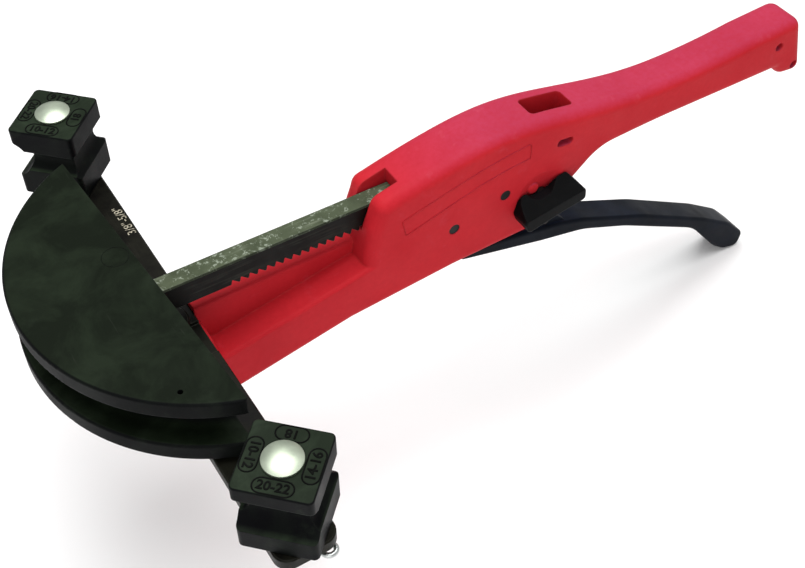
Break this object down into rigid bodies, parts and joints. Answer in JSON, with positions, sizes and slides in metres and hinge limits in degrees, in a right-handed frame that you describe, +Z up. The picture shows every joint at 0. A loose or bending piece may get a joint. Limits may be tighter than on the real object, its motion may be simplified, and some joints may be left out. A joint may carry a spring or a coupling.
{
  "type": "manual tube bender",
  "caption": "Ratchet tube bender: pistol body with a finger lever, toothed rack pushing a curved former, and swivelling grooved blocks on a cross-arm.",
  "frame": {"origin": "under the middle of the bounding box, level with the tip of the trigger lever", "axes": "+X from the handle to the former, along the rack; +Y to the left, across the tool, the side with the release knob; +Z up, from the lever to the body"},
  "size_m": [0.4444, 0.2868, 0.1826],
  "materials": {
    "red_paint": "satin enamel on a cast aluminium body",
    "black_poly": "satin black glass-filled nylon, slightly scuffed",
    "rack_steel": "hardened steel, olive grey, worn on top",
    "arm_steel": "black-finished steel bar",
    "zinc": "bright zinc plate",
    "spring_steel": "oiled spring steel",
    "dark_steel": "blackened steel"
  },
  "bodies": {
    "frame": {"body_casting": "red_paint", "cross_arm": "arm_steel", "arm_bolt": "dark_steel", "left_block_pin": "zinc", "right_block_pin": "zinc", "left_pin_washer": "zinc", "right_pin_washer": "zinc", "left_r_clip": "spring_steel", "right_r_clip": "spring_steel", "lever_pivot_pin": "dark_steel", "hold_pawl_pin": "dark_steel", "hold_pawl_spacers": "dark_steel", "lever_return_spring": "spring_steel", "hold_pawl_spring": "spring_steel"},
    "rack": {"rack": "rack_steel", "former": "black_poly", "former_pin": "spring_steel", "rack_stop_pin": "spring_steel"},
    "left_block": {"left_block": "black_poly"},
    "right_block": {"right_block": "black_poly"},
    "lever": {"trigger_lever": "black_poly", "drive_pawl_pin": "dark_steel", "lever_spring_pin": "spring_steel"},
    "drive_pawl": {"drive_pawl": "dark_steel"},
    "hold_pawl": {"hold_pawl": "dark_steel"},
    "release": {"release_knob": "black_poly", "release_shaft": "dark_steel", "release_cam": "dark_steel", "cam_pin": "spring_steel", "release_clip": "spring_steel"}
  },
  "joints": [
    {"name": "rack_feed", "type": "slide", "parent": "frame", "child": "rack", "axis": [1, 0, 0], "range_m": [-0.0765, 0.0045]},
    {"name": "left_block_turn", "type": "hinge", "parent": "frame", "child": "left_block", "pos_m": [0.15957, 0.1207, 0.15897], "axis": [0, 0, 1], "continuous": true},
    {"name": "right_block_turn", "type": "hinge", "parent": "frame", "child": "right_block", "pos_m": [0.15957, -0.1207, 0.15897], "axis": [0, 0, 1], "continuous": true},
    {"name": "trigger", "type": "hinge", "parent": "frame", "child": "lever", "pos_m": [0.01176, 0, 0.13617], "axis": [0, 1, 0], "range_deg": [0, 22], "stiffness_Nm_per_rad": 2, "springref_deg": -42.4},
    {"name": "drive_pawl_level", "type": "hinge", "parent": "lever", "child": "drive_pawl", "pos_m": [0.00948, 0, 0.14795], "axis": [0, 1, 0], "range_deg": [-22, 0]},
    {"name": "hold_pawl_lift", "type": "hinge", "parent": "frame", "child": "hold_pawl", "pos_m": [-0.01843, 0, 0.14417], "axis": [0, 1, 0], "range_deg": [0, 9.5], "deforming": ["hold_pawl_spring"]},
    {"name": "release_turn", "type": "hinge", "parent": "frame", "child": "release", "pos_m": [-0.04143, 0, 0.13297], "axis": [0, 1, 0], "range_deg": [0, 60], "stiffness_Nm_per_rad": 0.05, "springref_deg": -17.19}
  ],
  "couplings": [
    {"joint": "drive_pawl_level", "follows": "trigger", "ratio": -1},
    {"joint": "hold_pawl_lift", "follows": "release_turn", "ratio": 0.15833}
  ]
}
